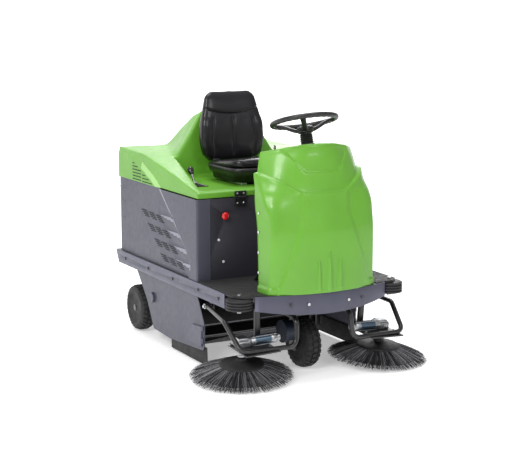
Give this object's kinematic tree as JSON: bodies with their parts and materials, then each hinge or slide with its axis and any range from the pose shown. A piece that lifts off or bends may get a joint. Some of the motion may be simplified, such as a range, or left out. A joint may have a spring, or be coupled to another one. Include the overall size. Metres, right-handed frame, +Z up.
{
  "type": "ride-on sweeper",
  "caption": "Ride-on floor sweeper with a bowed front fairing, tilting hood and seat, steered front wheel, tilted side brushes and a rear hopper.",
  "frame": {"origin": "on the floor under the middle of the machine", "axes": "+Z up, the front faces -Y, +X is the left-hand side of the machine"},
  "size_m": [1.332, 1.6917, 1.373],
  "materials": {
    "hood_green": "gloss",
    "fairing_green": "gloss",
    "panel_grey": "satin",
    "rail_grey": "satin",
    "panel_dark": "satin",
    "frame_black": "satin",
    "deck_steel": "satin",
    "mat_rubber": "matt",
    "bolt_zinc": "satin",
    "screw_white": "satin",
    "dash_black": "matt",
    "wheel_black": "satin",
    "shaft_steel": "satin",
    "tyre_rubber": "matt",
    "rim_paint": "satin",
    "roller_rubber": "matt",
    "motor_aluminium": "satin",
    "drive_motor_paint": "satin",
    "disc_black": "matt",
    "bristle_black": "matt",
    "flap_rubber": "matt",
    "battery_case": "matt",
    "filter_case": "matt",
    "seat_leather": "satin",
    "seat_frame": "matt",
    "stop_red": "gloss",
    "key_metal": "satin",
    "button_black": "satin",
    "display_black": "gloss",
    "hinge_black": "satin",
    "hopper_grey": "satin",
    "tunnel_steel": "satin",
    "pedal_black": "matt",
    "core_plastic": "matt"
  },
  "bodies": {
    "chassis": {"chassis_frame": "frame_black", "deck_plate": "deck_steel", "deck_mat": "mat_rubber", "front_bumper_rail": "rail_grey", "side_rail_right": "rail_grey", "side_rail_left": "rail_grey", "rear_bumper_rail": "rail_grey", "deck_bolts": "bolt_zinc", "body_side_right": "panel_grey", "body_side_left": "panel_grey", "body_front_panel": "panel_dark", "body_rear_panel": "panel_grey", "panel_screws": "screw_white", "front_fairing": "fairing_green", "dash_panel": "dash_black", "dash_display": "display_black", "steering_column": "dash_black", "brush_tunnel": "tunnel_steel", "side_flap_right": "flap_rubber", "side_flap_left": "flap_rubber", "battery_pack": "battery_case", "filter_housing": "filter_case", "hood_hinge_fixed": "hinge_black"},
    "hood": {"hood_cover": "hood_green", "hood_hinge_moving": "hinge_black"},
    "seat": {"seat_base": "seat_frame", "seat_cushion": "seat_leather", "seat_backrest": "seat_leather"},
    "lever": {"brush_lever": "button_black"},
    "stop_button": {"emergency_stop": "stop_red"},
    "key": {"key_switch": "key_metal"},
    "horn": {"horn_button": "button_black"},
    "steering": {"steering_wheel": "wheel_black", "steering_shaft": "shaft_steel"},
    "link": {"steering_link_shaft": "shaft_steel"},
    "fork": {"front_fork": "frame_black", "drive_motor": "drive_motor_paint"},
    "front_wheel": {"front_tyre": "tyre_rubber", "front_rim": "rim_paint"},
    "rear_wheel_right": {"rear_tyre_right": "tyre_rubber", "rear_rim_right": "rim_paint"},
    "rear_wheel_left": {"rear_tyre_left": "tyre_rubber", "rear_rim_left": "rim_paint"},
    "roller_right": {"corner_roller_right": "roller_rubber"},
    "roller_left": {"corner_roller_left": "roller_rubber"},
    "frame_right": {"brush_frame_right": "frame_black", "side_brush_motor_right": "motor_aluminium"},
    "frame_left": {"brush_frame_left": "frame_black", "side_brush_motor_left": "motor_aluminium"},
    "brush_right": {"side_brush_disc_right": "disc_black", "side_brush_bristles_right": "bristle_black"},
    "brush_left": {"side_brush_disc_left": "disc_black", "side_brush_bristles_left": "bristle_black"},
    "door_right": {"side_door_right": "panel_grey"},
    "door_left": {"side_door_left": "panel_grey"},
    "main_brush": {"main_brush_core": "core_plastic", "main_brush_bristles": "bristle_black"},
    "bin": {"hopper": "hopper_grey"},
    "drive": {"drive_pedal": "pedal_black"},
    "brake": {"brake_pedal": "pedal_black"}
  },
  "joints": [
    {"name": "hood_tilt", "type": "hinge", "parent": "chassis", "child": "hood", "pos_m": [0, -0.239, 0.864], "axis": [1, 0, 0], "range_deg": [0, 40]},
    {"name": "seat_slide", "type": "slide", "parent": "hood", "child": "seat", "axis": [0, -1, 0], "range_m": [0, 0.1]},
    {"name": "brush_lever_pull", "type": "hinge", "parent": "hood", "child": "lever", "pos_m": [-0.34, 0.07, 0.906], "axis": [1, 0, 0], "range_deg": [0, 30]},
    {"name": "emergency_stop_press", "type": "slide", "parent": "chassis", "child": "stop_button", "axis": [0, 1, 0], "range_m": [0, 0.006], "stiffness_N_per_m": 900, "springref_m": -0.004},
    {"name": "key_turn", "type": "hinge", "parent": "chassis", "child": "key", "pos_m": [-0.19, -0.536, 1.12], "axis": [0, 0, 1], "range_deg": [-90, 0]},
    {"name": "horn_press", "type": "slide", "parent": "chassis", "child": "horn", "axis": [0, 0, -1], "range_m": [0, 0.004], "stiffness_N_per_m": 500, "springref_m": -0.003},
    {"name": "fork_steer", "type": "hinge", "parent": "chassis", "child": "fork", "pos_m": [0, -0.498, 0.3], "axis": [0, 0, 1], "range_deg": [-70, 70]},
    {"name": "steering_turn", "type": "hinge", "parent": "chassis", "child": "steering", "pos_m": [0, -0.496, 1.266], "axis": [0, 0.2823, 0.9593], "range_deg": [-70, 70]},
    {"name": "link_turn", "type": "hinge", "parent": "chassis", "child": "link", "pos_m": [0, -0.498, 0.456], "axis": [0, -0.0962, 0.9954], "range_deg": [-70, 70]},
    {"name": "front_wheel_spin", "type": "hinge", "parent": "fork", "child": "front_wheel", "pos_m": [0, -0.498, 0.13], "axis": [1, 0, 0], "continuous": true},
    {"name": "rear_wheel_right_spin", "type": "hinge", "parent": "chassis", "child": "rear_wheel_right", "pos_m": [-0.4185, 0.624, 0.13], "axis": [1, 0, 0], "continuous": true},
    {"name": "rear_wheel_left_spin", "type": "hinge", "parent": "chassis", "child": "rear_wheel_left", "pos_m": [0.4185, 0.624, 0.13], "axis": [1, 0, 0], "continuous": true},
    {"name": "roller_right_spin", "type": "hinge", "parent": "chassis", "child": "roller_right", "pos_m": [-0.437, -0.628, 0.4], "axis": [0, 0, 1], "continuous": true},
    {"name": "roller_left_spin", "type": "hinge", "parent": "chassis", "child": "roller_left", "pos_m": [0.437, -0.628, 0.4], "axis": [0, 0, 1], "continuous": true},
    {"name": "frame_right_lift", "type": "hinge", "parent": "chassis", "child": "frame_right", "pos_m": [-0.455, -0.31, 0.329], "axis": [-1, 0, 0], "range_deg": [0, 7]},
    {"name": "frame_left_lift", "type": "hinge", "parent": "chassis", "child": "frame_left", "pos_m": [0.455, -0.31, 0.329], "axis": [-1, 0, 0], "range_deg": [0, 7]},
    {"name": "brush_right_spin", "type": "hinge", "parent": "frame_right", "child": "brush_right", "pos_m": [-0.4, -0.58, 0.023], "axis": [-0.0399, -0.0698, 0.9968], "continuous": true},
    {"name": "brush_left_spin", "type": "hinge", "parent": "frame_left", "child": "brush_left", "pos_m": [0.4, -0.58, 0.023], "axis": [0.0399, -0.0698, 0.9968], "continuous": true},
    {"name": "door_right_open", "type": "hinge", "parent": "chassis", "child": "door_right", "pos_m": [-0.462, -0.268, 0.2], "axis": [0, 0, 1], "range_deg": [0, 110]},
    {"name": "door_left_open", "type": "hinge", "parent": "chassis", "child": "door_left", "pos_m": [0.462, -0.268, 0.2], "axis": [0, 0, -1], "range_deg": [0, 110]},
    {"name": "main_brush_spin", "type": "hinge", "parent": "chassis", "child": "main_brush", "pos_m": [0, 0.15, 0.148], "axis": [1, 0, 0], "continuous": true},
    {"name": "hopper_slide", "type": "slide", "parent": "chassis", "child": "bin", "axis": [0, 1, 0], "range_m": [0, 0.3]},
    {"name": "drive_pedal_press", "type": "hinge", "parent": "chassis", "child": "drive", "pos_m": [-0.16, -0.35, 0.453], "axis": [1, 0, 0], "range_deg": [0, 20], "stiffness_Nm_per_rad": 6, "springref_deg": -20.05},
    {"name": "brake_pedal_press", "type": "hinge", "parent": "chassis", "child": "brake", "pos_m": [0.16, -0.35, 0.453], "axis": [1, 0, 0], "range_deg": [0, 20], "stiffness_Nm_per_rad": 6, "springref_deg": -20.05}
  ],
  "couplings": [
    {"joint": "steering_turn", "follows": "fork_steer", "ratio": 1},
    {"joint": "link_turn", "follows": "fork_steer", "ratio": 1},
    {"joint": "frame_left_lift", "follows": "frame_right_lift", "ratio": 1},
    {"joint": "brush_lever_pull", "follows": "frame_right_lift", "ratio": 4.2857}
  ]
}
